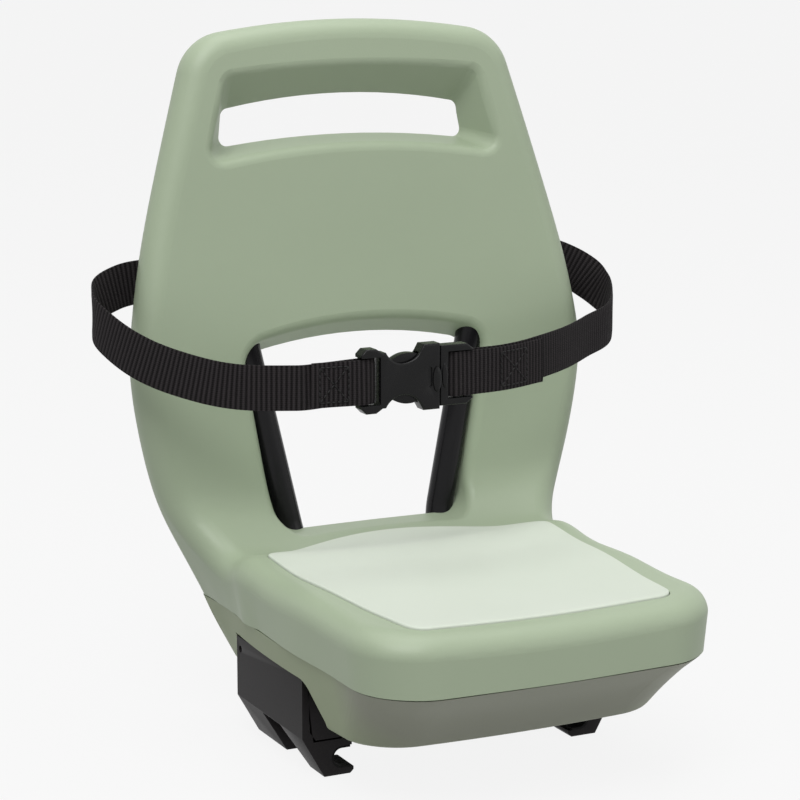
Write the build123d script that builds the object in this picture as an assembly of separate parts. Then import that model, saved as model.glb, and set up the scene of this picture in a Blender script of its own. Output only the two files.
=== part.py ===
from build123d import *
import os
from math import cos, radians, sin, tan

# Child seat for a bicycle's rear carrier, all sizes in mm.
# Working frame: X to the right as seen from in front, Y to the rear, Z up, origin on the cushion.

# Moulded shell
BACK_TOP = 295.0
CROWN_RADIUS = 520.0
TOP_CORNER_RADIUS = 31.0
FRONT_EDGE_Y = -188.0
FRONT_CORNER_RADIUS = 38.0
RIM_RADIUS = 12.0
REAR_EDGE_RADIUS = 10.0
PARTING_Z = -32.0
REAR_FOOT_Y = 57.0
REAR_BEND_Y = 59.5
REAR_BEND_Z = 95.0
REAR_LEAN = 7.4
BEND_RADIUS = 38.0
BEND_Y = 31.5 - BEND_RADIUS
BEND_Z = 42.0
POCKET_TOP_Z = -12.5
NOTCH_HALF = 60.0
NOTCH_Y = 40.5

# Cushion in the seat
PAD_PROUD = 1.4
PAD_SUNK = 4.4

# Bent steel tube
TUBE_RADIUS = 8.0
TUBE_WALL = 1.5
LEG_X = 46.0
LEG_Z = -33.2

# Under tray
BASE_FLOOR_Z = -71.0
BASE_WALL = 3.0
CEILING_Z = -46.7
PLATE_TOP_Z = -41.2
PLATE_THICK = 2.5

# Rail clamps
CLAMP_REAR_Y = 9.7
CLAMP_FRONT_Y = -81.0
CLAMP_FACE_X = 98.0
CLAMP_FOOT_Z = -105.0
RAIL_RADIUS = 5.0
RAIL_X = 74.5
RAIL_Z = -95.0
LINER = 1.2
CLAMP_BOLT_X = 78.0
CLAMP_BOLT_Y = (-12.0, -60.0)
SLIDE_IN = 6.0
SLIDE_OUT = 10.0
SLOT_RADIUS = 3.4

# Lap belt and side-release buckle
WEB_WIDTH = 25.0
WEB_THICK = 1.6
BUCKLE_X = 1.0
BUCKLE_Y = -45.0
BUCKLE_Z = 104.3
BUCKLE_THICK = 9.6
BAR_HALF = 1.3
WEB_GAP = 2.6

# Fasteners
BASE_SCREW_SPOTS = ((-26.0, -128.0), (26.0, -128.0), (-20.0, 24.0), (20.0, 24.0))
SADDLE_Y = (-74.0, -4.0)
SADDLE_FOOT = 13.5
GUIDE_X = 106.0
BELT_REAR_Z = 150.0
BELT_REAR_Y = 70.6

# Whole part moved so that it stands on z = 0 with its box centred
FRAME_Y = 51.95
FRAME_Z = -CLAMP_FOOT_Z


def rear_y(z):
    return REAR_BEND_Y + (z - REAR_BEND_Z) * tan(radians(REAR_LEAN))


def section(front_half, rear_half, front, rear, dish):
    # One cross-section of the shell: dished front edge, straight sides and rear edge.
    length = ((rear[0] - front[0]) ** 2 + (rear[1] - front[1]) ** 2) ** 0.5
    deep_y = front[0] + dish * (rear[0] - front[0]) / length
    deep_z = front[1] + dish * (rear[1] - front[1]) / length
    front_left = (-front_half, *front)
    front_right = (front_half, *front)
    rear_left = (-rear_half, *rear)
    rear_right = (rear_half, *rear)
    edges = [
        ThreePointArc(front_left, (0, deep_y, deep_z), front_right),
        Line(front_right, rear_right),
        Line(rear_right, rear_left),
        Line(rear_left, front_left),
    ]
    return Wire(edges)


def shell_blank():
    # The back and the seat are one run of cross-sections, about 35 mm apart, that turns at the bend.
    wires = []
    for z, half, y, dish in (
        (314, 89.5, 62.0, 2),
        (279, 100.5, 58.3, 3),
        (244, 111.3, 54.3, 4),
        (209, 121.8, 50.3, 5),
        (174, 131.5, 45.6, 6),
        (139, 139.0, 39.6, 7),
        (104, 143.6, 35.0, 7),
        (72, 140.8, 32.5, 9),
        (BEND_Z, 134.7, 31.5, 10),
    ):
        wires.append(section(half, half, (y, z), (y + 46, z), dish))
    for angle, half, rear_half, reach, dish in (
        (30, 128.0, 117.0, 100, 13),
        (60, 118.0, 92.5, 110, 10.5),
        (90, 110.5, 97.0, 100, 5),
    ):
        across = cos(radians(angle))
        down = sin(radians(angle))
        inner = (BEND_Y + BEND_RADIUS * across, BEND_Z - BEND_RADIUS * down)
        outer = (BEND_Y + reach * across, BEND_Z - reach * down)
        wires.append(section(half, rear_half, inner, outer, dish))
    for y, half, rear_half, z, dish in (
        (-40, 109.0, 98.4, 3.3, 4),
        (-75, 108.0, 100.3, 2.8, 4),
        (-110, 107.0, 101.0, 2.5, 4),
        (-145, 104.0, 98.0, 2.0, 4),
        (-180, 99.0, 93.0, 1.5, 3),
        (-212, 93.0, 88.0, 1.0, 3),
    ):
        wires.append(section(half, rear_half, (y, z), (y, -55), dish))
    return Solid.make_loft(wires)


def trimmed_shell():
    # Cut the run to the leaning rear face, the crowned top and the bowed front, then round every rim.
    body = shell_blank()
    top = (rear_y(316), 316)
    foot = (REAR_FOOT_Y, PARTING_Z)
    rear = FilletPolyline(foot, (REAR_BEND_Y, REAR_BEND_Z), top, radius=150)
    rest = Polyline(top, (-260, 316), (-260, PARTING_Z), foot)
    body &= extrude(Plane.YZ * make_face([rear, rest]), amount=200, both=True)
    side = 150
    low = BACK_TOP - CROWN_RADIUS + (CROWN_RADIUS**2 - side**2) ** 0.5
    crown = ThreePointArc((-side, low), (0, BACK_TOP), (side, low))
    rest = Polyline((side, low), (side, -60), (-side, -60), (-side, low))
    body &= extrude(Plane.XZ * make_face([crown, rest]), amount=300, both=True)
    bow = ThreePointArc((-side, FRONT_EDGE_Y + 17), (0, FRONT_EDGE_Y), (side, FRONT_EDGE_Y + 17))
    rest = Polyline((side, FRONT_EDGE_Y + 17), (side, 200), (-side, 200), (-side, FRONT_EDGE_Y + 17))
    body &= extrude(make_face([bow, rest]), amount=400, both=True)
    top_corners = [e for e in body.edges() if e.center().Z > 255 and abs((e @ 1 - e @ 0).Y) > 15]
    body = fillet([e for e in top_corners if abs(e.center().X) > 70], TOP_CORNER_RADIUS)
    front_corners = [e for e in body.edges() if e.center().Y < -170 and abs((e @ 1 - e @ 0).Z) > 15]
    body = fillet([e for e in front_corners if abs(e.center().X) > 70], FRONT_CORNER_RADIUS)
    face = body.faces().sort_by(SortBy.AREA)[-1]
    body = fillet(face.edges(), RIM_RADIUS)
    rear_edges = []
    for f in body.faces().filter_by(lambda f: f.normal_at().Y > 0.95):
        rear_edges += f.edges()
    back_rim = [e for e in rear_edges if abs(e.center().X) > 60 or e.center().Z > 280]
    return fillet(back_rim, REAR_EDGE_RADIUS)


def funnel(y_front, front, y_rear, rear, corner_front, corner_rear):
    # An opening that narrows to the rear; outlines give bottom, top (half-width, height) and crowning.
    wires = []
    for y, (low_half, low, top_half, top, top_rise, low_rise), corner in (
        (y_front, front, corner_front),
        (y_rear, rear, corner_rear),
    ):
        outline = make_face(
            [
                ThreePointArc((-low_half, low), (0, low + low_rise), (low_half, low)),
                Line((low_half, low), (top_half, top)),
                ThreePointArc((top_half, top), (0, top + top_rise), (-top_half, top)),
                Line((-top_half, top), (-low_half, low)),
            ]
        )
        outline = fillet(outline.vertices(), corner)
        plane = Plane(origin=(0, y, 0), x_dir=(1, 0, 0), z_dir=(0, -1, 0))
        wires.append((plane * outline).face().outer_wire())
    tail = extrude(Face(wires[1]), amount=30, dir=(0, 1, 0))
    return Solid.make_loft(wires, ruled=True) + tail


def handle_opening():
    return funnel(34, (108, 208, 86, 293, 5, 11), 78, (77.5, 223.5, 76, 244.5, 7.5, 5), 9, 5)


def back_opening():
    return funnel(14, (62, 2.5, 86, 126, 18, 0.5), 60, (58, 2.5, 75, 103, 10, 0.5), 18, 14)


def tube_half():
    # One half of the steel hoop: straight under the seat, up beside the back opening, over inside the back.
    under = Line((LEG_X, -100, LEG_Z), (LEG_X, 4, LEG_Z))
    upright = Line((50.2, 46.5, 8), (72.4, 52, 110))
    turn = Spline(under @ 1, upright @ 0, tangents=(under % 0, upright % 0), tangent_scalars=(1.2, 1.0))
    top = (0, 62.8, 191)
    over = Spline(upright @ 1, (78, 57, 148), (56, 61.4, 182), top, tangents=(upright % 1, (-1, 0, 0)))
    return [under, turn, upright, over]


def tube(radius):
    body = None
    for path in tube_half():
        start = Plane(origin=path @ 0, z_dir=path % 0)
        length = Solid.sweep((start * Circle(radius)).face(), Wire([path.edge()]))
        body = length if body is None else body + length
    return body + mirror(body, Plane.YZ)


def pad_prism(inset):
    # Shield-shaped outline of the cushion seen from above: straight front, bowed sides, arched rear edge.
    front = -172 + inset
    front_half = 76 - inset
    rear_half = 90 - inset
    outline = make_face(
        [
            ThreePointArc((-front_half, front), (0, front - 1.5), (front_half, front)),
            ThreePointArc((front_half, front), (86.5 - inset, -92), (rear_half, -14)),
            ThreePointArc((rear_half, -14), (0, 20 - inset), (-rear_half, -14)),
            ThreePointArc((-rear_half, -14), (-86.5 + inset, -92), (-front_half, front)),
        ]
    )
    outline = fillet(outline.vertices(), 11)
    return extrude(Pos(0, 0, -25) * outline, amount=80)


def pad_layer(body, inset, proud, sunk):
    # The cushion follows the dished seat: a layer of the seat surface, a little proud of it.
    return (pad_prism(inset) & (Pos(0, 0, proud) * body)) - (Pos(0, 0, -sunk) * body)


def seat_tray(rear_half, mid_half, front_half, rear, front, rear_corner, front_corner):
    # Plan outline shared by the tray's upper and lower edges.
    middle = (rear + front) / 2 - 10
    outline = make_face(
        [
            Line((-rear_half, rear), (rear_half, rear)),
            ThreePointArc((rear_half, rear), (mid_half, middle), (front_half, front + 5)),
            ThreePointArc((front_half, front + 5), (0, front), (-front_half, front + 5)),
            ThreePointArc((-front_half, front + 5), (-mid_half, middle), (-rear_half, rear)),
        ]
    )
    rear_vertices = [v for v in outline.vertices() if v.Y > 0]
    outline = fillet(rear_vertices, rear_corner)
    front_vertices = [v for v in outline.vertices() if v.Y < front + 10]
    return fillet(front_vertices, front_corner)


def tray_body(inset, top, floor):
    # Tapered body between the parting line and the floor, pulled in by a wall thickness if asked.
    wires = []
    for z, rear_half, mid_half, front_half, rear, front, rear_corner, front_corner in (
        (top, 97.5, 103.3, 95.5, 56, -187.3, 9, 38),
        (floor, 83, 95, 88.5, 48, -151, 12, 34),
    ):
        halves = (rear_half - inset, mid_half - inset, front_half - inset)
        corners = (rear_corner - inset, front_corner - inset)
        outline = seat_tray(*halves, rear - inset, front + inset, *corners)
        wires.append((Pos(0, 0, z) * outline).face().outer_wire())
    return Solid.make_loft(wires, ruled=True)


def base_screw_holes(radius, low, high):
    return [Pos(x, y, (low + high) / 2) * Cylinder(radius, high - low) for x, y in BASE_SCREW_SPOTS]


def round_opening(body, low, high, radius):
    # Soften the front edge of one opening in the back.
    face = body.faces().sort_by(SortBy.AREA)[-1]
    ring = [w for w in face.inner_wires() if low < w.center().Z < high][0]
    return fillet([e for e in ring.edges() if e.center().Z > 6], radius)


def seat_body():
    body = trimmed_shell() - handle_opening() - back_opening()
    body = round_opening(body, 200, 290, 6)
    return round_opening(body, -5, 140, 6)


def rear_notch():
    # Gap behind the seat pan where the hoop drops below the back opening.
    shape = fillet(Rectangle(2 * NOTCH_HALF, 60).face().vertices(), 8)
    return extrude(Pos(0, NOTCH_Y + 30, PARTING_Z - 1) * shape, amount=48)


def seat_shell(body, cushion):
    upper = seat_tray(88, 97, 88, 36, -180, 10, 32)
    lower = seat_tray(90, 97.5, 88.5, 36.5, -180.5, 10, 32)
    body -= rear_notch()
    wires = [(Pos(0, 0, POCKET_TOP_Z) * upper).face().outer_wire()]
    wires.append((Pos(0, 0, PARTING_Z - 1) * lower).face().outer_wire())
    body -= Solid.make_loft(wires, ruled=True)
    for boss in base_screw_holes(6, -46, POCKET_TOP_Z + 1):
        body += boss
    for hole in base_screw_holes(1.7, -47, -16):
        body -= hole
    body -= cushion
    body -= tube(TUBE_RADIUS + 0.15)
    for spot in guide_screw_spots():
        body -= spot * Cylinder(1.7, 16)
    return body


def clamp_pocket(inset):
    # Side bay in the tray for one rail clamp, open to the side and below.
    profile = make_face(
        Polyline(
            (14 + inset, CEILING_Z + inset),
            (-88 - inset, CEILING_Z + inset),
            (-104 - inset, -66),
            (-106 - inset, -80),
            (14 + inset, -80),
            (14 + inset, CEILING_Z + inset),
        )
    )
    front_top = [v for v in profile.vertices() if v.X < -80 and v.Y > -60]
    profile = fillet(front_top, 14)
    return extrude(Plane.YZ.offset(56 - inset) * profile, amount=80)


def slots(low, high):
    # Cross slots on both sides that let the clamp bolts slide.
    middle = CLAMP_BOLT_X + (SLIDE_OUT - SLIDE_IN) / 2
    shape = SlotCenterToCenter(SLIDE_IN + SLIDE_OUT, 2 * SLOT_RADIUS)
    found = []
    for x in (-middle, middle):
        for y in CLAMP_BOLT_Y:
            found.append(extrude(Pos(x, y, low) * shape, amount=high - low))
    return found


def seat_base():
    outer = tray_body(0, PARTING_Z - 0.6, BASE_FLOOR_Z)
    floor_edges = [e for e in outer.edges() if abs(e.center().Z - BASE_FLOOR_Z) < 0.1]
    outer = fillet(floor_edges, 5)
    inner = tray_body(BASE_WALL, PARTING_Z - 0.5, BASE_FLOOR_Z + BASE_WALL)
    for side in (0, 1):
        bay = clamp_pocket(0)
        room = clamp_pocket(BASE_WALL)
        if side:
            bay = mirror(bay, Plane.YZ)
            room = mirror(room, Plane.YZ)
        outer -= bay
        inner -= room
    body = outer - inner
    shelf = fillet(Rectangle(2 * NOTCH_HALF + 10, 20).face().vertices(), 4)
    body += extrude(Pos(0, 44.5, PARTING_Z - 0.6) * shelf, amount=-BASE_WALL)
    for boss in base_screw_holes(6, BASE_FLOOR_Z + 1, -46.2):
        body += boss
    for hole in base_screw_holes(2.3, -68, -46):
        body -= hole
    for hole in base_screw_holes(4.4, BASE_FLOOR_Z - 1, -66.5):
        body -= hole
    for slot in slots(CEILING_Z - 1, CEILING_Z + BASE_WALL + 1):
        body -= slot
    return body


def saddle_spots():
    return [(side * LEG_X, y) for side in (-1, 1) for y in SADDLE_Y]


def mounting_plate():
    # Pressed steel plate that carries the hoop and both clamps.
    low = PLATE_TOP_Z - PLATE_THICK
    outline = fillet(Rectangle(188, 104).face().vertices(), 12)
    body = extrude(Pos(0, -36, low) * outline, amount=PLATE_THICK)
    window = fillet(Rectangle(44, 60).face().vertices(), 10)
    body -= extrude(Pos(0, -36, low - 1) * window, amount=PLATE_THICK + 2)
    for slot in slots(low - 1, PLATE_TOP_Z + 1):
        body -= slot
    for x, y in saddle_spots():
        for step in (-SADDLE_FOOT, SADDLE_FOOT):
            body -= Pos(x + step, y, low) * Cylinder(1.7, 10)
    return body


def tube_saddles():
    # Four steel straps that hold the hoop's legs down on the plate.
    strap = 1.5
    inside = TUBE_RADIUS + 0.1
    outside = inside + strap
    found = []
    for x, y in saddle_spots():
        cover = Pos(x, 0, LEG_Z) * Rot(90, 0, 0) * Cylinder(outside, 12)
        cover += Pos(x, 0, (LEG_Z + PLATE_TOP_Z) / 2) * Box(2 * outside, 12, LEG_Z - PLATE_TOP_Z)
        cover += Pos(x, 0, PLATE_TOP_Z + strap / 2) * Box(2 * SADDLE_FOOT + 10, 12, strap)
        cover -= Pos(x, 0, LEG_Z) * Rot(90, 0, 0) * Cylinder(inside, 14)
        cover -= Pos(x, 0, (LEG_Z + PLATE_TOP_Z) / 2) * Box(2 * inside, 14, LEG_Z - PLATE_TOP_Z)
        cover -= Pos(x, 0, PLATE_TOP_Z - 20) * Box(60, 14, 40)
        for step in (-SADDLE_FOOT, SADDLE_FOOT):
            cover -= Pos(x + step, 0, PLATE_TOP_Z) * Cylinder(2.2, 10)
        found.append(Pos(0, y, 0) * cover)
    return Compound(found)


def pan_screw(head, shank, length):
    # Screw pointing down, underside of its head at z = 0, with a hexagon socket.
    body = Pos(0, 0, -length / 2) * Cylinder(shank, length)
    dome = Pos(0, 0, head * 0.3) * Cylinder(head, head * 0.6)
    dome = fillet(dome.edges().sort_by(Axis.Z)[-1], head * 0.4)
    socket = extrude(RegularPolygon(head * 0.42, 6), amount=-head * 0.35)
    return body + dome - Pos(0, 0, head * 0.6) * socket


def saddle_screws():
    found = []
    for x, y in saddle_spots():
        for step in (-SADDLE_FOOT, SADDLE_FOOT):
            found.append(Pos(x + step, y, PLATE_TOP_Z + 1.5) * pan_screw(3.6, 1.65, 3.9))
    return Compound(found)


def base_screws():
    screw = Rot(180, 0, 0) * pan_screw(4.0, 1.65, 44)
    return Compound([Pos(x, y, -66.5) * screw for x, y in BASE_SCREW_SPOTS])


def right_clamp():
    # Moulded rail clamp: outer plate, top flange and an inward hook with two feet.
    jaw = RAIL_RADIUS + LINER
    outline = make_face(
        [
            Polyline(
                (RAIL_X - 7, RAIL_Z - jaw),
                (RAIL_X - 7, CLAMP_FOOT_Z + 2),
                (RAIL_X - 5, CLAMP_FOOT_Z),
                (85, CLAMP_FOOT_Z),
                (CLAMP_FACE_X, -82),
                (CLAMP_FACE_X, CEILING_Z - 0.5),
                (66, CEILING_Z - 0.5),
                (66, CEILING_Z - 4),
                (CLAMP_FACE_X - 4, CEILING_Z - 4),
                (CLAMP_FACE_X - 4, -78),
                (90, -83.5),
                (RAIL_X - 6, -83.5),
                (RAIL_X - 6, RAIL_Z + jaw),
                (RAIL_X, RAIL_Z + jaw),
            ),
            ThreePointArc((RAIL_X, RAIL_Z + jaw), (RAIL_X + jaw, RAIL_Z), (RAIL_X, RAIL_Z - jaw)),
            Line((RAIL_X, RAIL_Z - jaw), (RAIL_X - 7, RAIL_Z - jaw)),
        ]
    )
    length = CLAMP_REAR_Y - CLAMP_FRONT_Y
    plane = Plane(origin=(0, CLAMP_REAR_Y, 0), x_dir=(1, 0, 0), z_dir=(0, -1, 0))
    body = extrude(plane * outline, amount=length)
    gap = make_face(Polyline((-26, -82.5), (-50, -82.5), (-64, -108), (-31, -108), (-26, -82.5)))
    body -= extrude(Plane.YZ.offset(50) * gap, amount=60)
    for y in (CLAMP_REAR_Y - 3, -36, CLAMP_FRONT_Y + 3):
        rib = make_face(Polyline((80, CEILING_Z - 3), (95, CEILING_Z - 3), (95, -66), (80, CEILING_Z - 3)))
        body += extrude(Plane(origin=(0, y + 1.5, 0), x_dir=(1, 0, 0), z_dir=(0, -1, 0)) * rib, amount=3)
    emboss = make_face(Polyline((-8, -55), (-62, -55), (-54, -76), (-16, -76), (-8, -55)))
    body -= extrude(Plane.YZ.offset(CLAMP_FACE_X - 0.8) * emboss, amount=5)
    body -= Pos(CLAMP_FACE_X, CLAMP_REAR_Y - 5, -54) * Rot(0, 90, 0) * Cylinder(2, 20)
    for y in CLAMP_BOLT_Y:
        body -= Pos(CLAMP_BOLT_X, y, CEILING_Z - 2) * Cylinder(3.1, 10)
    return body


def right_liner():
    # Rubber lining of the hook, one length in each foot.
    jaw = RAIL_RADIUS + LINER
    tip = RAIL_X - 5
    outer_top = (RAIL_X, RAIL_Z + jaw)
    outer_foot = (RAIL_X, RAIL_Z - jaw)
    inner_top = (RAIL_X, RAIL_Z + RAIL_RADIUS)
    inner_foot = (RAIL_X, RAIL_Z - RAIL_RADIUS)
    outline = make_face(
        [
            ThreePointArc(outer_top, (RAIL_X + jaw, RAIL_Z), outer_foot),
            Polyline(outer_foot, (tip, RAIL_Z - jaw), (tip, RAIL_Z - RAIL_RADIUS), inner_foot),
            ThreePointArc(inner_foot, (RAIL_X + RAIL_RADIUS, RAIL_Z), inner_top),
            Polyline(inner_top, (tip, RAIL_Z + RAIL_RADIUS), (tip, RAIL_Z + jaw), outer_top),
        ]
    )
    found = []
    for rear, front in ((CLAMP_REAR_Y, -27), (-63, CLAMP_FRONT_Y)):
        plane = Plane(origin=(0, rear, 0), x_dir=(1, 0, 0), z_dir=(0, -1, 0))
        found.append(extrude(plane * outline, amount=rear - front))
    return Compound([f.solid() for f in found])


def right_bolts():
    found = []
    for y in CLAMP_BOLT_Y:
        head = extrude(RegularPolygon(5.77, 6), amount=-4)
        bolt = head + Pos(0, 0, 9) * Cylinder(3, 18)
        found.append((Pos(CLAMP_BOLT_X, y, CEILING_Z - 4) * bolt).solid())
    return Compound(found)


def right_washers():
    ring = Pos(0, 0, 0.6) * (Cylinder(6, 1.2) - Cylinder(3.2, 2))
    return Compound([(Pos(CLAMP_BOLT_X, y, PLATE_TOP_Z + 0.3) * ring).solid() for y in CLAMP_BOLT_Y])


def right_nuts():
    nut = extrude(RegularPolygon(5.77, 6), amount=5) - Cylinder(3.02, 20)
    return Compound([(Pos(CLAMP_BOLT_X, y, PLATE_TOP_Z + 1.5) * nut).solid() for y in CLAMP_BOLT_Y])


def ribbon(points, turns=1):
    # Flat webbing standing on edge along a run of points at its middle.
    middle = Spline(*points)
    steps = 4 * max(1, round(middle.length / 60))
    wires = []
    for step in range(steps + 1):
        along = middle % (step / steps)
        plane = Plane(origin=middle @ (step / steps), x_dir=(0, 0, 1), z_dir=(along.X, along.Y, 0))
        wires.append((plane * Rectangle(WEB_WIDTH, WEB_THICK)).face().outer_wire())
    run = steps // turns
    lengths = [Solid.make_loft(wires[n * run : (n + 1) * run + 1], ruled=True) for n in range(turns)]
    return lengths[0].fuse(*lengths[1:]) if turns > 1 else lengths[0]


def web_turn(x, z, side):
    # Half turn of the webbing round a buckle bar.
    ring = Circle(WEB_GAP + WEB_THICK / 2) - Circle(WEB_GAP - WEB_THICK / 2)
    ring = ring & (Pos(side * 10, 0) * Rectangle(20, 20))
    return extrude(Pos(x, BUCKLE_Y, z - WEB_WIDTH / 2) * ring, amount=WEB_WIDTH).solid()


def lap_belt():
    # One strap: sewn to the housing, round behind the back, to the adjuster and its free tail.
    main = ribbon(
        (
            (BUCKLE_X - 41.9, BUCKLE_Y - WEB_GAP, BUCKLE_Z),
            (-58, -47.5, 103.3),
            (-84, -44.5, 102),
            (-128, -15, 101),
            (-162.3, 33, 121),
            (-161.3, 57, 139),
            (-118, BELT_REAR_Y, BELT_REAR_Z),
            (-146, 67.8, 147),
            (-90, BELT_REAR_Y, BELT_REAR_Z),
            (0, BELT_REAR_Y, BELT_REAR_Z),
            (90, BELT_REAR_Y, BELT_REAR_Z),
            (118, BELT_REAR_Y, BELT_REAR_Z),
            (146, 67.8, 147),
            (164, 57, 139),
            (158, 30, 126),
            (122, 0, 118),
            (70, -34, 110),
            (44, -42.6, 106.2),
            (BUCKLE_X + 23, BUCKLE_Y + WEB_GAP, BUCKLE_Z + 0.3),
            (BUCKLE_X + 9.9, BUCKLE_Y + WEB_GAP, BUCKLE_Z),
        ),
        turns=4,
    )
    fold = ribbon(((BUCKLE_X - 41.9, BUCKLE_Y + WEB_GAP, BUCKLE_Z), (-58, -43.0, 103.3), (-80, -43, 102)))
    tail = ribbon(
        (
            (BUCKLE_X + 9.9, BUCKLE_Y - WEB_GAP, BUCKLE_Z),
            (BUCKLE_X + 23, BUCKLE_Y - WEB_GAP, BUCKLE_Z + 0.3),
            (44, -46, 106.2),
            (67, -38.6, 109.5),
        )
    )
    turns = [web_turn(BUCKLE_X - 41.5, BUCKLE_Z, 1), web_turn(BUCKLE_X + 9.5, BUCKLE_Z, -1)]
    return Compound([main, fold, tail] + turns)


def buckle_frame(shape, low, high):
    # Extrude an outline drawn along the belt and across it to a slab between two depths.
    plane = Plane(origin=(BUCKLE_X, BUCKLE_Y + low, BUCKLE_Z), x_dir=(1, 0, 0), z_dir=(0, -1, 0))
    return extrude(plane * shape, amount=low - high)


def buckle_housing():
    half = BUCKLE_THICK / 2
    upper = [
        Polyline((-48, 0), (-48, 15), (-45, 18), (-39, 18), (-35, 15.5), (-33, 15.5)),
        ThreePointArc((-33, 15.5), (-22.5, 9), (-12, 15)),
        Polyline((-12, 15), (-10, 18.5), (0, 18.5), (0, 0)),
    ]
    lower = [mirror(e, Plane.XZ) for e in upper]
    body = buckle_frame(make_face(upper + lower), half, -half)
    long_edges = [e for e in body.edges() if abs((e @ 1 - e @ 0).Y) < 0.01]
    body = fillet(long_edges, 1.2)
    body -= buckle_frame(Pos(-17, 0) * Rectangle(34.1, 28.6), 2.9, -2.9)
    body -= buckle_frame(Pos(-39.5, 0) * Rectangle(6, 26.6), 10, -10)
    for low, high in ((10, BAR_HALF), (-BAR_HALF, -10)):
        body -= buckle_frame(Pos(-46, 0) * Rectangle(12, 26.6), low, high)
    mark = SlotCenterToCenter(9, 2.6).face().rotate(Axis.Z, 90)
    body -= buckle_frame(Pos(-6.4, 0) * mark, -half + 1, -half - 1)
    return body


def buckle_tongue():
    half = BUCKLE_THICK / 2
    plate = make_face(Polyline((0.5, -17), (0.5, 17), (17, 17), (21, 14), (21, -14), (17, -17), (0.5, -17)))
    body = buckle_frame(plate, half - 0.6, -half + 0.6)
    body = fillet([e for e in body.edges() if abs((e @ 1 - e @ 0).Y) < 0.01], 1.0)
    body -= buckle_frame(Pos(8, 0) * Rectangle(5.6, 26.6), 10, -10)
    body -= buckle_frame(Pos(15.6, 0) * Rectangle(3.6, 26.6), 10, -10)
    for low, high in ((10, BAR_HALF), (-BAR_HALF, -10)):
        body -= buckle_frame(Pos(17, 0) * Rectangle(14, 26.6), low, high)
    for side in (1, -1):
        prong = make_face(
            [
                Polyline((1, side * 8.5), (1, side * 13.2), (-12, side * 13.2), (-16, side * 14)),
                ThreePointArc((-16, side * 14), (-25, side * 13), (-31, side * 9)),
                Polyline((-31, side * 9), (-28, side * 7.5), (-14, side * 9.5), (1, side * 8.5)),
            ]
        )
        body += buckle_frame(prong, 2.5, -2.5)
    body += buckle_frame(Pos(-13, 0) * Rectangle(28, 4), 2.3, -2.3)
    dome = Pos(BUCKLE_X + 3.2, BUCKLE_Y - half + 0.6, BUCKLE_Z) * scale(Sphere(1), (2.0, 1.2, 7))
    return body + dome


def guide_seat(side):
    return Pos(side * GUIDE_X, rear_y(BELT_REAR_Z), BELT_REAR_Z) * Rot(-REAR_LEAN, 0, 0)


def guide_screw_spots():
    # Places on the rear face, turned so that a screw's head faces out.
    return [guide_seat(side) * Pos(0, 0, z) * Rot(-90, 0, 0) for side in (-1, 1) for z in (-21, 21)]


def belt_guides():
    # Two flat bridges on the rear of the back that the webbing runs through.
    found = []
    for side in (-1, 1):
        profile = make_face(
            Polyline(
                (0, -26),
                (2.4, -26),
                (2.4, -16.5),
                (9.4, -16.5),
                (9.4, 16.5),
                (2.4, 16.5),
                (2.4, 26),
                (0, 26),
                (0, 14),
                (7.0, 14),
                (7.0, -14),
                (0, -14),
                (0, -26),
            )
        )
        bridge = extrude(Plane.YZ * profile, amount=8, both=True)
        for z in (-21, 21):
            bridge -= Pos(0, 0, z) * Rot(90, 0, 0) * Cylinder(2.2, 20)
        found.append(guide_seat(side) * bridge)
    return Compound([f.solid() for f in found])


def guide_screws():
    screws = [spot * Pos(0, 0, 2.4) * pan_screw(3.6, 1.6, 9) for spot in guide_screw_spots()]
    return Compound([screw.solid() for screw in screws])


def mirrored(shape):
    return mirror(shape, Plane.YZ)


def build():
    body = seat_body()
    cushion = pad_layer(body, 0, PAD_PROUD, PAD_SUNK)
    pieces = {
        "seat_shell": seat_shell(body, cushion),
        "seat_pad": cushion,
        "seat_base": seat_base(),
        "back_frame": tube(TUBE_RADIUS) - tube(TUBE_RADIUS - TUBE_WALL),
        "mounting_plate": mounting_plate(),
        "tube_saddles": tube_saddles(),
        "saddle_screws": saddle_screws(),
        "base_screws": base_screws(),
        "lap_belt": lap_belt(),
        "buckle_housing": buckle_housing(),
        "buckle_tongue": buckle_tongue(),
        "belt_guides": belt_guides(),
        "guide_screws": guide_screws(),
    }
    for name, make in (
        ("clamp", right_clamp),
        ("rail_liner", right_liner),
        ("clamp_bolts", right_bolts),
        ("clamp_washers", right_washers),
        ("clamp_nuts", right_nuts),
    ):
        shape = make()
        pieces["right_" + name] = shape
        pieces["left_" + name] = mirrored(shape)
    os.makedirs("parts", exist_ok=True)
    for name, shape in pieces.items():
        export_step(Pos(0, FRAME_Y, FRAME_Z) * shape, "parts/" + name + ".step")


build()
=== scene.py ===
import math

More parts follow.
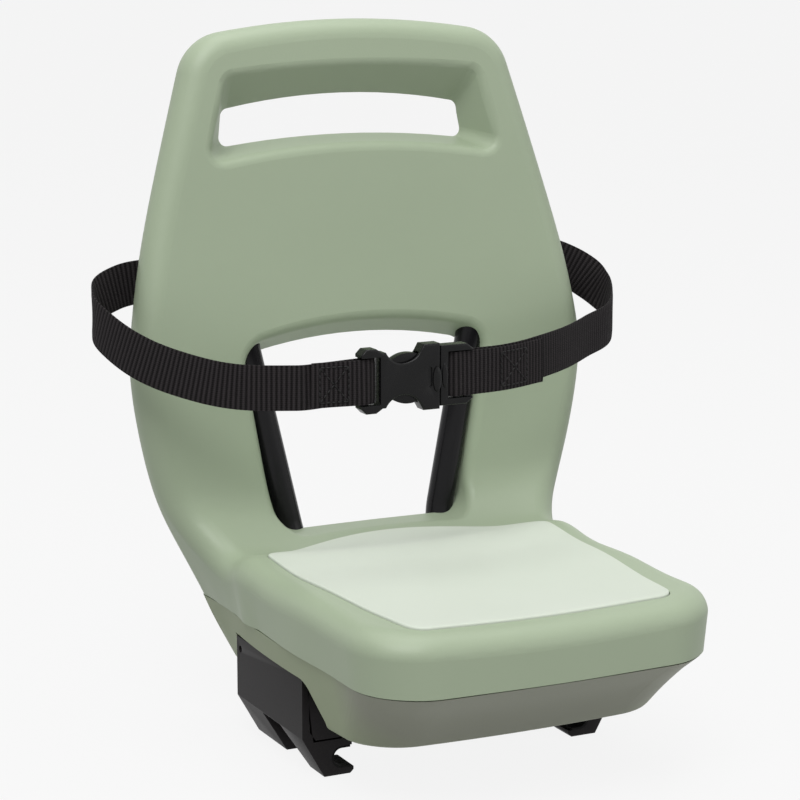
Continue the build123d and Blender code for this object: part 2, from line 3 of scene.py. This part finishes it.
import bpy
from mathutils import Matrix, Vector


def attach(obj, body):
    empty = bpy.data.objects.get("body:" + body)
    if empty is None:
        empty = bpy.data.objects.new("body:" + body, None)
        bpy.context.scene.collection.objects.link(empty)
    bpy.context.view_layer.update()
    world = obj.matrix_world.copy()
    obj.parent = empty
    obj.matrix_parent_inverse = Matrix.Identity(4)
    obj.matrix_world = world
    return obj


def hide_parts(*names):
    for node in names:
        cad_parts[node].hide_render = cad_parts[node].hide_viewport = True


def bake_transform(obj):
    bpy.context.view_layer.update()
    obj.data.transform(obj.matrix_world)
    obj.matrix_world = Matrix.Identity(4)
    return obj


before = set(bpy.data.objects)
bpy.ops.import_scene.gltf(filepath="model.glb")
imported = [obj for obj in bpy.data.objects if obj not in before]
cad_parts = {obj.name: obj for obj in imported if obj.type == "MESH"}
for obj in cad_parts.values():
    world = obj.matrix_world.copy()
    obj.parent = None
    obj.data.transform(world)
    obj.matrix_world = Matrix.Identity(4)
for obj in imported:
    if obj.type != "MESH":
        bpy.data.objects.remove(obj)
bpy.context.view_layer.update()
bpy.context.scene.view_settings.view_transform = "Standard"


# Seat shell: back and seat in one piece, injection moulded in a satin grey-green plastic.
# The surface has the fine spark-eroded grain of such mouldings, with slight clouds in colour and gloss.
# It is closed around the steel hoop and screwed to the base from below.
class Wire:
    def __init__(self, tree, socket=None):
        self.tree = tree
        self.socket = socket

    def node(self, kind, inputs, output=0, **settings):
        made = self.tree.nodes.new("ShaderNode" + kind)
        for name, value in settings.items():
            setattr(made, name, value)
        for name, value in inputs.items():
            if isinstance(value, Wire):
                self.tree.links.new(value.socket, made.inputs[name])
            else:
                made.inputs[name].default_value = value
        return Wire(self.tree, made.outputs[output])

    def math(self, operation, first, second):
        return self.node("Math", {0: first, 1: second}, operation=operation)

    def __add__(self, other):
        return self.math("ADD", self, other)

    def __sub__(self, other):
        return self.math("SUBTRACT", self, other)

    def __rsub__(self, other):
        return self.math("SUBTRACT", other, self)

    def __mul__(self, other):
        return self.math("MULTIPLY", self, other)

    __radd__ = __add__
    __rmul__ = __mul__

    def place(self):
        return self.node("TexCoord", {}, output="Object")

    def noise(self, scale, detail=2.0):
        return self.node("TexNoise", {"Vector": self, "Scale": scale, "Detail": detail})

    def shades(self, factor, dark, light):
        return self.node("Mix", {0: factor, 6: (*dark, 1), 7: (*light, 1)}, output=2, data_type="RGBA")

    def bump(self, height, strength, distance):
        return self.node("Bump", {"Height": height, "Strength": strength, "Distance": distance})


def finish(name):
    made = bpy.data.materials.new(name)
    made.use_nodes = True
    return made, Wire(made.node_tree)


def surface(made, colour, roughness, normal, metallic=0.0, specular=0.5, sheen=0.0):
    shader = made.node_tree.nodes["Principled BSDF"]
    shader.inputs["Metallic"].default_value = metallic
    shader.inputs["Specular IOR Level"].default_value = specular
    shader.inputs["Sheen Weight"].default_value = sheen
    for name, value in (("Base Color", colour), ("Roughness", roughness), ("Normal", normal)):
        made.node_tree.links.new(value.socket, shader.inputs[name])


def moulded_plastic(name, dark, light, roughness, grain_scale, grain_height, specular):
    made, wire = finish(name)
    place = wire.place()
    cloudy = place.noise(9.0, 3.0)
    grain = place.noise(grain_scale, 1.0)
    colour = wire.shades(cloudy, dark, light)
    rough = roughness + 0.10 * (cloudy - 0.5) + 0.08 * (grain - 0.5)
    surface(made, colour, rough, wire.bump(grain, 0.35, grain_height), specular=specular)
    return made


def pick(pieces):
    bpy.ops.object.select_all(action="DESELECT")
    for piece in pieces:
        piece.select_set(True)
    bpy.context.view_layer.objects.active = pieces[0]


def bare_copy(node):
    piece = bpy.data.objects.new(node + "_moulding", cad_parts[node].data.copy())
    bpy.context.scene.collection.objects.link(piece)
    piece.data.materials.clear()
    pick([piece])
    return piece


SEAM_EASE = (
    (-0.060, 0.0),
    (-0.002, 0.0017),
    (0.032, -0.0010),
    (0.063, 0.0018),
    (0.072, 0.0018),
    (0.098, 0.0),
)
SEAM_HEIGHT = 0.073
SEAM_FADE = 0.110
SIDE_WALL = (0.080, 0.095)
LIP_REACH = 0.005
LIP_DEPTH = (-0.138, -0.112)
LIP_FOOT = 0.034
LIP_SPREAD = 0.0025
SPREAD_DEPTH = (-0.115, -0.055)
CORNER_PUSH = 0.003
CORNER_PLACE = Vector((0.094, -0.130))
CORNER_SIZE = 0.022


def gentle(value, low, high):
    share = min(max((value - low) / (high - low), 0.0), 1.0)
    return share * share * (3 - 2 * share)


def ease_lip(spot):
    high = gentle(spot.z, LIP_FOOT, SEAM_HEIGHT)
    away = (Vector((abs(spot.x), spot.y)) - CORNER_PLACE).length / CORNER_SIZE
    push = CORNER_PUSH * math.exp(-away * away / 2) * high
    spread = LIP_SPREAD * gentle(abs(spot.x), *SIDE_WALL) * (1 - gentle(spot.y, *SPREAD_DEPTH))
    reach = LIP_REACH * (1 - gentle(spot.y, *LIP_DEPTH)) * high
    return Vector((spot.x + math.copysign(spread + push, spot.x), spot.y - reach - push, spot.z))


def ease_seam(spot):
    shift = 0.0
    for (start, first), (end, last) in zip(SEAM_EASE, SEAM_EASE[1:]):
        if start < spot.y <= end:
            shift = first + (last - first) * gentle(spot.y, start, end)
    shift *= gentle(abs(spot.x), *SIDE_WALL) * (1 - gentle(spot.z, SEAM_HEIGHT, SEAM_FADE))
    return Vector((spot.x + math.copysign(shift, spot.x), spot.y, spot.z))


shell = bare_copy("seat_shell")
for vertex in shell.data.vertices:
    vertex.co = ease_lip(ease_seam(vertex.co))
shell.data.materials.append(moulded_plastic(
    "shell_grey_green", (0.345, 0.415, 0.290), (0.375, 0.447, 0.318), 0.46, 1500.0, 0.00012, 0.4
))
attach(shell, "seat")
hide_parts("seat_shell")


# Base tray: a second moulding under the pan, screwed up into the shell, green like it along the sides.
# Its raked front faces down into shade and is painted a browner grey from the corners on: painted shade
# and painted floor reflection on the same green plastic. A dark line shows where the two meet.
# Depths in y over which the front's painted shade comes in.
PAINTED_SHADE_DEPTH = (-0.072, -0.104)
FRONT_FACES = -0.05
REAR_FLARE = 0.0042
REAR_DEPTH = (0.070, 0.106)


def tray_plastic(name):
    made, wire = finish(name)
    place = wire.place()
    cloudy = place.noise(9.0, 3.0)
    grain = place.noise(1500.0, 1.0)
    # Painted shade: the down-facing front is mixed to a browner grey along y. It stands in for shade
    # and the floor's reflection.
    fore = wire.node("SeparateXYZ", {"Vector": place}, output="Y")
    painted_shade_mask = wire.node("MapRange", {"Value": fore, "From Min": PAINTED_SHADE_DEPTH[0], "From Max": PAINTED_SHADE_DEPTH[1]})
    sides = wire.shades(cloudy, (0.300, 0.352, 0.226), (0.330, 0.382, 0.250))
    painted_shade_colour = wire.shades(cloudy, (0.262, 0.274, 0.216), (0.286, 0.298, 0.238))
    colour = wire.node("Mix", {0: painted_shade_mask, 6: sides, 7: painted_shade_colour}, output=2, data_type="RGBA")
    rough = 0.52 + 0.10 * (cloudy - 0.5) + 0.08 * (grain - 0.5)
    surface(made, colour, rough, wire.bump(grain, 0.35, 0.00014), specular=0.25)
    return made


def ease_corner(spot):
    flare = REAR_FLARE * gentle(spot.y, *REAR_DEPTH) * gentle(abs(spot.x), *SIDE_WALL)
    return Vector((spot.x + math.copysign(flare, spot.x), spot.y, spot.z))


tray = bare_copy("seat_base")
bpy.ops.mesh.customdata_custom_splitnormals_clear()
bpy.ops.object.mode_set(mode="EDIT")
bpy.ops.mesh.select_mode(type="FACE")
bpy.ops.mesh.select_all(action="SELECT")
bpy.ops.mesh.remove_doubles(threshold=0.00001)
bpy.ops.mesh.select_all(action="DESELECT")
bpy.ops.object.mode_set(mode="OBJECT")
for face in tray.data.polygons:
    face.select = face.center.y < FRONT_FACES
bpy.ops.object.mode_set(mode="EDIT")
bpy.ops.mesh.subdivide(number_cuts=3)
bpy.ops.object.mode_set(mode="OBJECT")
for vertex in tray.data.vertices:
    vertex.co = ease_lip(ease_corner(vertex.co))
bpy.ops.object.shade_smooth_by_angle(angle=math.radians(30))
tray.data.materials.append(tray_plastic("base_green_painted_front_shade"))
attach(tray, "seat")
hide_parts("seat_base")


# Hoop of bent steel tube, 16 mm across, powder coated black with a fine orange-peel gloss.
# It runs up inside the back and its legs are strapped to the plate under the seat.
def powder_coat(name):
    made, wire = finish(name)
    place = wire.place()
    peel = place.noise(900.0, 1.0)
    cloudy = place.noise(40.0, 2.0)
    colour = wire.shades(cloudy, (0.005, 0.0047, 0.0058), (0.009, 0.0086, 0.0098))
    surface(made, colour, 0.24 + 0.08 * (cloudy - 0.5), wire.bump(peel, 0.2, 0.0001), specular=0.18)
    return made


def paint(node, material):
    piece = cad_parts[node]
    piece.data.materials.clear()
    piece.data.materials.append(material)


paint("back_frame", powder_coat("hoop_black"))


# Plate, saddles and fasteners: pressed steel and screws with a dull zinc plating.
# The plate lies in the tray, carries the hoop and both clamps, and is hidden in use.
def zinc_plate(name):
    made, wire = finish(name)
    place = wire.place()
    cloudy = place.noise(120.0, 3.0)
    fine = place.noise(2600.0, 1.0)
    colour = wire.shades(cloudy, (0.44, 0.45, 0.46), (0.60, 0.61, 0.62))
    surface(made, colour, 0.30 + 0.16 * (cloudy - 0.5), wire.bump(fine, 0.15, 0.00005), metallic=1.0)
    return made


dull_zinc = zinc_plate("dull_zinc")
for node in ("mounting_plate", "tube_saddles", "saddle_screws", "base_screws", "guide_screws"):
    paint(node, dull_zinc)
for side in ("left", "right"):
    for part in ("bolts", "washers", "nuts"):
        paint(side + "_clamp_" + part, dull_zinc)


# Rail clamps and belt guides: moulded in glass-filled black plastic, the clamps with softened edges.
# Each clamp is one plain moulding, closed by a web at both ends and bolted up under the seat.
# Its hooks are lined with rubber.
FACE_X = 0.098
FACE_STEP = 0.0008
WEB_ENDS = (-0.02905, 0.05865)
WEB_CORNERS = ((0.0690, 0.0205), (0.0915, 0.0205), (0.0670, 0.0565), (0.0955, 0.0565))
END_WEB_THICK = 0.003
CLAMP_ROUNDING = 0.0007


def soften_edges(piece, width):
    pick([piece])
    bpy.ops.object.mode_set(mode="EDIT")
    bpy.ops.mesh.select_all(action="SELECT")
    bpy.ops.mesh.remove_doubles(threshold=0.00002)
    bpy.ops.mesh.dissolve_degenerate(threshold=0.00002)
    bpy.ops.mesh.dissolve_limited(angle_limit=math.radians(1))
    bpy.ops.object.mode_set(mode="OBJECT")
    rounded = piece.modifiers.new("rounded edges", "BEVEL")
    rounded.width = width
    rounded.segments = 3
    rounded.limit_method = "ANGLE"
    rounded.angle_limit = math.radians(40)
    bpy.ops.object.modifier_apply(modifier=rounded.name)
    bpy.ops.object.shade_smooth_by_angle(angle=math.radians(28))


def end_web(side, low):
    bpy.ops.object.select_all(action="DESELECT")
    bpy.ops.mesh.primitive_plane_add(size=0.03)
    web = bpy.context.object
    for vertex, (out, up) in zip(web.data.vertices, WEB_CORNERS):
        vertex.co = (side * out, low, up)
    bpy.ops.object.mode_set(mode="EDIT")
    bpy.ops.mesh.select_all(action="SELECT")
    bpy.ops.mesh.extrude_region_move(TRANSFORM_OT_translate={"value": (0, END_WEB_THICK, 0)})
    bpy.ops.mesh.select_all(action="SELECT")
    bpy.ops.mesh.normals_make_consistent(inside=False)
    bpy.ops.object.mode_set(mode="OBJECT")
    return web


clamp_plastic = moulded_plastic(
    "clamp_black", (0.0085, 0.0073, 0.0078), (0.0140, 0.0122, 0.0130), 0.50, 1100.0, 0.00016, 0.16
)
liner_rubber = moulded_plastic(
    "liner_rubber", (0.006, 0.006, 0.006), (0.010, 0.010, 0.010), 0.75, 700.0, 0.0002, 0.15
)
paint("belt_guides", clamp_plastic)
for side, name in ((-1, "left"), (1, "right")):
    clamp = bare_copy(name + "_clamp")
    for vertex in clamp.data.vertices:
        if abs(abs(vertex.co.x) - FACE_X + FACE_STEP) < 0.0001:
            vertex.co.x = side * FACE_X
    soften_edges(clamp, CLAMP_ROUNDING)
    pick([clamp] + [end_web(side, low) for low in WEB_ENDS])
    bpy.ops.object.join()
    clamp.data.materials.append(clamp_plastic)
    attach(clamp, name + "_clamp_set")
    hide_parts(name + "_clamp")
    paint(name + "_rail_liner", liner_rubber)


# Buckle: side-release buckle moulded in smooth black acetal, with a soft gloss and rounded edges.
# The housing is sewn to one end of the belt, the tongue holds the other on its bar, and a raised
# oval stands at the housing's mouth.
BUCKLE_ROUNDING = 0.0009
OVAL_PLACE = (-0.0012, 0.00215, 0.2080)
OVAL_HALF_WIDTH = 0.0026
OVAL_STRETCH = 2.75
OVAL_STEPS = ((0.0004, 1.0), (0.00045, 0.96), (0.0003, 0.84), (0.0002, 0.62), (0.00008, 0.35))
buckle_plastic = moulded_plastic(
    "buckle_black", (0.0035, 0.0035, 0.0038), (0.0055, 0.0055, 0.0058), 0.27, 1900.0, 0.00006, 0.20
)
for node, body in (("buckle_housing", "seat"), ("buckle_tongue", "tongue")):
    moulding = bare_copy(node)
    soften_edges(moulding, BUCKLE_ROUNDING)
    moulding.data.materials.append(buckle_plastic)
    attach(moulding, body)
    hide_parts(node)
bpy.ops.object.select_all(action="DESELECT")
bpy.ops.mesh.primitive_circle_add(
    vertices=36,
    radius=OVAL_HALF_WIDTH,
    fill_type="NGON",
    location=OVAL_PLACE,
    rotation=(math.radians(90), 0, 0),
)
oval = bpy.context.object
oval.name = "buckle_oval"
oval.scale = (1, OVAL_STRETCH, 1)
bpy.ops.object.transform_apply(location=True, rotation=True, scale=True)
bpy.ops.object.mode_set(mode="EDIT")
bpy.ops.mesh.select_all(action="SELECT")
for rise, share in OVAL_STEPS:
    bpy.ops.mesh.extrude_region_move(TRANSFORM_OT_translate={"value": (0, -rise, 0)})
    bpy.ops.transform.resize(value=(share, 1, share), center_override=OVAL_PLACE)
bpy.ops.mesh.select_all(action="SELECT")
bpy.ops.mesh.normals_make_consistent(inside=False)
bpy.ops.object.mode_set(mode="OBJECT")
bpy.ops.object.shade_smooth_by_angle(angle=math.radians(40))
oval.data.materials.append(buckle_plastic)
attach(oval, "seat")


# Seat cushion: a soft closed-cell foam pad, heat moulded, let into a recess in the pan.
# Its top stands a little over a millimetre proud and its edge is rolled over.
EDGE_POINTS = 320
EDGE_GAP = 0.0004
EDGE_ROLL = ((0.0001, 0.0005), (0.0002, 0.00035), (0.0003, 0.0002), (0.0004, 0.0001), (0.0006, 0.00005))
EDGE_BAND = 0.002
PAD_RINGS = 24
PAD_SIDE = 0.0030
PAD_MIDDLE = Vector((0, -0.02))
ABOVE_PAD = 0.3
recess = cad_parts["seat_pad"]


def recess_outline(count):
    corners = set()
    for face in recess.data.polygons:
        if abs(face.normal.z) < 0.02:
            for index in face.vertices:
                corner = recess.data.vertices[index].co
                corners.add((round(corner.x, 5), round(corner.y, 5)))
    ring = [Vector(corner) for corner in corners]
    ring.sort(key=lambda spot: math.atan2(spot.y - PAD_MIDDLE.y, spot.x - PAD_MIDDLE.x))
    sides = list(zip(ring, ring[1:] + ring[:1]))
    step = sum((end - start).length for start, end in sides) / count
    found = []
    travelled = 0.0
    for start, end in sides:
        side = (end - start).length
        while len(found) < count and len(found) * step < travelled + side:
            found.append(start.lerp(end, (len(found) * step - travelled) / side))
        travelled += side
    return found


def foam_skin(name):
    made, wire = finish(name)
    place = wire.place()
    cells = wire.node("TexVoronoi", {"Vector": place, "Scale": 900.0})
    cloudy = place.noise(14.0, 3.0)
    colour = wire.shades(cloudy, (0.610, 0.668, 0.572), (0.658, 0.708, 0.624))
    rough = 0.62 + 0.1 * (cloudy - 0.5)
    surface(made, colour, rough, wire.bump(cells, 0.25, 0.00012), specular=0.3, sheen=0.15)
    return made


bpy.ops.object.select_all(action="DESELECT")
bpy.ops.mesh.primitive_circle_add(vertices=EDGE_POINTS, radius=0.1, fill_type="NGON")
pad = bpy.context.object
pad.name = "cushion"
for vertex, spot in zip(pad.data.vertices, recess_outline(EDGE_POINTS)):
    vertex.co = (spot.x, spot.y, 0)
bpy.ops.object.mode_set(mode="EDIT")
bpy.ops.mesh.select_mode(type="FACE")
bpy.ops.mesh.select_all(action="SELECT")
bpy.ops.mesh.normals_make_consistent(inside=False)
bpy.ops.mesh.inset(thickness=EDGE_GAP)
bpy.ops.mesh.select_all(action="INVERT")
bpy.ops.mesh.delete(type="FACE")
bpy.ops.mesh.select_all(action="SELECT")
for width, rise in EDGE_ROLL:
    bpy.ops.mesh.inset(thickness=width)
    bpy.ops.transform.translate(value=(0, 0, rise))
for band in range(2):
    bpy.ops.mesh.inset(thickness=EDGE_BAND)
for ring in range(PAD_RINGS, 1, -1):
    share = (ring - 1) / ring
    bpy.ops.mesh.extrude_region_move()
    bpy.ops.transform.resize(value=(share, share, 1), center_override=(*PAD_MIDDLE, 0))
bpy.ops.mesh.poke()
bpy.ops.object.mode_set(mode="OBJECT")
full = sum(rise for width, rise in EDGE_ROLL)
drops = [vertex.co.z - full for vertex in pad.data.vertices]
bpy.context.view_layer.update()
for vertex in pad.data.vertices:
    hit, place, normal, index = recess.ray_cast((vertex.co.x, vertex.co.y, ABOVE_PAD), (0, 0, -1))
    vertex.co.z = place.z
bpy.ops.object.mode_set(mode="EDIT")
bpy.ops.mesh.select_all(action="SELECT")
bpy.ops.mesh.vertices_smooth(factor=0.5, repeat=8, xaxis=False, yaxis=False, zaxis=True)
bpy.ops.object.mode_set(mode="OBJECT")
for vertex, drop in zip(pad.data.vertices, drops):
    vertex.co = ease_lip(vertex.co) + Vector((0, 0, drop))
bpy.ops.object.mode_set(mode="EDIT")
bpy.ops.mesh.select_mode(type="EDGE")
bpy.ops.mesh.select_all(action="DESELECT")
bpy.ops.mesh.select_non_manifold()
bpy.ops.mesh.extrude_edges_move(TRANSFORM_OT_translate={"value": (0, 0, -PAD_SIDE)})
bpy.ops.mesh.edge_face_add()
bpy.ops.mesh.select_all(action="SELECT")
bpy.ops.mesh.normals_make_consistent(inside=False)
bpy.ops.object.mode_set(mode="OBJECT")
bpy.ops.object.shade_smooth_by_angle(angle=math.radians(50))
pad.data.materials.append(foam_skin("pad_foam"))
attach(pad, "seat")
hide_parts("seat_pad")


# Lap belt: 25 mm ribbed black webbing, one length sewn to the housing, passed behind the back through
# its guides and round to the adjuster on the tongue. Both ends are held by a sewn box with a cross.
WEB_WIDTH = 0.025
WEB_THICK = 0.0016
RIB_PITCH = 0.0027
RIB_HEIGHT = 0.00025
WEAVE_PITCH = 0.0011
STITCH_SIZE = (0.0030, 0.0010, 0.0009)
STITCH_STEP = 0.0034
STITCH_HALF = 0.0097
STITCH_PROUD = 0.00005
LEFT_BOXES = ((0.0045, 0.0215), (0.0500, 0.0670))
RIGHT_BOXES = ((-0.0350, -0.0150), (-0.1350, -0.1150))
left_route = (
    (-0.0755, 0.00585, 0.2094),
    (-0.0640, 0.00565, 0.2093),
    (-0.0500, 0.00440, 0.2092),
    (-0.0410, 0.00435, 0.2093),
    (-0.0379, 0.00695, 0.2093),
    (-0.0410, 0.00955, 0.2093),
    (-0.0500, 0.00945, 0.2092),
    (-0.0660, 0.00865, 0.2088),
    (-0.0840, 0.00915, 0.2085),
    (-0.1280, 0.03695, 0.2120),
    (-0.1630, 0.08495, 0.2320),
    (-0.1620, 0.10895, 0.2440),
    (-0.1460, 0.11975, 0.2520),
    (-0.1180, 0.12255, 0.2550),
    (0.0, 0.12255, 0.2550),
    (0.1060, 0.12255, 0.2550),
)
right_route = (
    (0.1060, 0.12255, 0.2550),
    (0.1180, 0.12255, 0.2550),
    (0.1460, 0.11975, 0.2480),
    (0.1635, 0.10895, 0.2340),
    (0.1580, 0.08195, 0.2215),
    (0.1220, 0.05195, 0.2145),
    (0.0700, 0.01795, 0.2115),
    (0.0440, 0.00935, 0.2102),
    (0.0240, 0.00955, 0.2096),
    (0.0108, 0.00955, 0.2093),
    (0.0080, 0.00695, 0.2093),
    (0.0108, 0.00435, 0.2093),
    (0.0170, 0.00435, 0.2094),
    (0.0240, 0.00435, 0.2095),
    (0.0440, 0.00675, 0.2096),
    (0.0740, 0.01745, 0.2101),
)


def belt_path(route):
    bpy.ops.object.select_all(action="DESELECT")
    bpy.ops.curve.primitive_bezier_curve_add()
    path = bpy.context.object
    path.data.dimensions = "3D"
    path.data.twist_mode = "Z_UP"
    path.data.resolution_u = 24
    spline = path.data.splines[0]
    spline.bezier_points.add(len(route) - 2)
    for point, place in zip(spline.bezier_points, route):
        point.co = place
        point.handle_left_type = "AUTO"
        point.handle_right_type = "AUTO"
    return path, spline.calc_length()


def lay_along(piece, path):
    pick([piece])
    piece.rotation_euler = (math.radians(90), 0, 0)
    bpy.ops.object.transform_apply(location=True, rotation=True, scale=True)
    follow = piece.modifiers.new("along the route", "CURVE")
    follow.object = path
    bpy.ops.object.modifier_apply(modifier=follow.name)


def webbing(name, path, length):
    bpy.ops.object.select_all(action="DESELECT")
    columns = 8 * round(length / RIB_PITCH)
    bpy.ops.mesh.primitive_grid_add(x_subdivisions=columns, y_subdivisions=8, size=1)
    strap = bpy.context.object
    strap.name = name
    strap.scale = (length, WEB_WIDTH, 1)
    strap.location = (length / 2, 0, 0)
    bpy.ops.object.transform_apply(location=True, rotation=False, scale=True)
    thick = strap.modifiers.new("web thickness", "SOLIDIFY")
    thick.thickness = WEB_THICK - 2 * RIB_HEIGHT
    thick.offset = 0
    bpy.ops.object.modifier_apply(modifier=thick.name)
    for vertex in strap.data.vertices:
        rib = RIB_HEIGHT * math.sin(2 * math.pi * vertex.co.x / RIB_PITCH)
        edge = (abs(vertex.co.y) / (WEB_WIDTH / 2)) ** 8
        vertex.co.z = (vertex.co.z + math.copysign(rib, vertex.co.z)) * (1 - 0.4 * edge)
    lay_along(strap, path)
    bpy.ops.object.shade_smooth_by_angle(angle=math.radians(50))
    return strap


def stitching(name, path, boxes):
    bpy.ops.object.select_all(action="DESELECT")
    bpy.ops.mesh.primitive_uv_sphere_add(segments=8, ring_count=6, radius=0.5)
    model = bpy.context.object
    model.scale = STITCH_SIZE
    bpy.ops.object.transform_apply(location=False, rotation=False, scale=True)
    stitches = []
    for start, end in boxes:
        corners = ((start, -STITCH_HALF), (end, -STITCH_HALF), (end, STITCH_HALF), (start, STITCH_HALF))
        runs = list(zip(corners, corners[1:] + corners[:1]))
        runs += [(corners[0], corners[2]), (corners[1], corners[3])]
        for first, last in runs:
            first = Vector(first)
            last = Vector(last)
            count = max(1, round((last - first).length / STITCH_STEP))
            for number in range(count):
                spot = first.lerp(last, (number + 0.5) / count)
                copy = bpy.data.objects.new(name, model.data.copy())
                copy.location = (spot.x, spot.y, WEB_THICK / 2 + STITCH_PROUD)
                copy.rotation_euler = (0, 0, math.atan2(last.y - first.y, last.x - first.x))
                bpy.context.scene.collection.objects.link(copy)
                stitches.append(copy)
    bpy.data.objects.remove(model)
    pick(stitches)
    bpy.ops.object.transform_apply(location=True, rotation=True, scale=True)
    bpy.ops.object.join()
    seam = bpy.context.object
    seam.name = name
    lay_along(seam, path)
    bpy.ops.object.shade_smooth()
    return seam


def web_with_painted_rib_light(name, length):
    made, wire = finish(name)
    flat = wire.node("UVMap", {}, uv_map="UVMap")
    along = wire.node("SeparateXYZ", {"Vector": flat}, output="X")
    across = wire.node("SeparateXYZ", {"Vector": flat}, output="Y")
    rib = wire.math("SINE", along * (2 * math.pi * length / RIB_PITCH), 0.0)
    weave = wire.math("SINE", across * (2 * math.pi * WEB_WIDTH / WEAVE_PITCH), 0.0)
    fuzz = wire.place().noise(1800.0, 2.0)
    # Painted highlight and painted shade: the colour follows the rib sine, lighter on the crests and
    # darker in the grooves. The fuzz and weave add the webbing's own tone.
    painted_rib_light_and_fuzz = 0.5 + 0.4 * rib + 0.1 * weave + 0.5 * (fuzz - 0.5)
    colour = wire.shades(painted_rib_light_and_fuzz, (0.0022, 0.0018, 0.0019), (0.0380, 0.0335, 0.0355))
    rough = 0.78 + 0.15 * (fuzz - 0.5)
    threads = wire.bump(weave * 0.3 + fuzz * 0.7, 0.6, 0.0002)
    surface(made, colour, rough, threads, specular=0.08, sheen=0.03)
    return made


def sewing_thread(name):
    made, wire = finish(name)
    ply = wire.place().noise(2600.0, 1.0)
    colour = wire.shades(ply, (0.0020, 0.0018, 0.0019), (0.0070, 0.0062, 0.0066))
    surface(made, colour, 0.55 + 0.1 * (ply - 0.5), wire.bump(ply, 0.4, 0.0001), specular=0.3)
    return made


black_thread = sewing_thread("thread_black")
left_path, left_length = belt_path(left_route)
left_strap = webbing("belt_left", left_path, left_length)
left_strap.data.materials.append(web_with_painted_rib_light("web_left_painted_rib_light", left_length))
left_seam = stitching("belt_left_stitching", left_path, LEFT_BOXES)
right_path, right_length = belt_path(right_route)
right_strap = webbing("belt_right", right_path, right_length)
right_strap.data.materials.append(web_with_painted_rib_light("web_right_painted_rib_light", right_length))
right_boxes = [(right_length + start, right_length + end) for start, end in RIGHT_BOXES]
right_seam = stitching("belt_right_stitching", right_path, right_boxes)
for path in (left_path, right_path):
    bpy.data.objects.remove(path)
for seam in (left_seam, right_seam):
    seam.data.materials.append(black_thread)
for piece in (left_strap, left_seam):
    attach(piece, "seat")
for piece in (right_strap, right_seam):
    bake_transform(piece)
for strap in (left_strap, right_strap):
    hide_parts("lap_belt")


# Studio: a pale floor that runs off to white, one large soft lamp above and in front, and weak fills.
# The floor keeps a faint shadow and gives back little light, so the undersides stay dark.
WORLD_LIGHT = 0.32
WORLD_SEEN = 0.93


def seen_directly(wire):
    camera_ray = wire.node("LightPath", {}, output="Is Camera Ray")
    glossy_ray = wire.node("LightPath", {}, output="Is Glossy Ray")
    through_ray = wire.node("LightPath", {}, output="Is Transmission Ray")
    return camera_ray + glossy_ray + through_ray


def studio_white(name, shade, bounce, shadow):
    made, wire = finish(name)
    plain = wire.tree.nodes["Principled BSDF"]
    plain.inputs["Base Color"].default_value = (bounce, bounce, bounce, 1)
    plain.inputs["Roughness"].default_value = 0.9
    lit = Wire(wire.tree, plain.outputs[0])
    glow = wire.node("Emission", {"Color": (shade, shade, shade, 1)})
    mixed = wire.node("MixShader", {0: seen_directly(wire) * (1 - shadow), 1: lit, 2: glow})
    wire.tree.links.new(mixed.socket, wire.tree.nodes["Material Output"].inputs["Surface"])
    return made


bpy.ops.object.select_all(action="DESELECT")
bpy.ops.mesh.primitive_plane_add(size=30, location=(0, 0, -0.0005))
floor = bpy.context.object
floor.name = "studio_floor"
floor.data.materials.append(studio_white("floor_white", 1.0, 0.45, 0.12))

world = bpy.data.worlds.new("studio")
bpy.context.scene.world = world
world.use_nodes = True
backdrop = world.node_tree.nodes["Background"]
backdrop.inputs["Color"].default_value = (1, 1, 1, 1)
strength = WORLD_LIGHT + seen_directly(Wire(world.node_tree)) * (WORLD_SEEN - WORLD_LIGHT)
world.node_tree.links.new(strength.socket, backdrop.inputs["Strength"])

for name, place, size, power in (
    ("key", (-1.0, -1.2, 2.4), 1.5, 48.0),
    ("top", (0.2, 0.2, 2.2), 1.2, 15.0),
    ("fill", (1.7, -1.8, 0.9), 1.6, 7.0),
):
    lamp = bpy.data.objects.new(name + "_lamp", bpy.data.lights.new(name + "_lamp", "AREA"))
    lamp.data.shape = "SQUARE"
    lamp.data.size = size
    lamp.data.energy = power
    lamp.location = place
    lamp.rotation_mode = "QUATERNION"
    lamp.rotation_quaternion = (Vector((0, 0, 0.2)) - Vector(place)).to_track_quat("-Z", "Y")
    bpy.context.scene.collection.objects.link(lamp)

camera = bpy.data.objects.new("camera", bpy.data.cameras.new("camera"))
camera.data.lens = 115.3
camera.data.sensor_width = 36
camera.location = (-0.6338, -1.23775, 0.46885)
azimuth = math.radians(-26.19)
elevation = math.radians(11.09)
looking = Vector((
    -math.sin(azimuth) * math.cos(elevation),
    math.cos(azimuth) * math.cos(elevation),
    -math.sin(elevation),
))
camera.rotation_mode = "QUATERNION"
camera.rotation_quaternion = looking.to_track_quat("-Z", "Y")
bpy.context.scene.collection.objects.link(camera)
bpy.context.scene.camera = camera
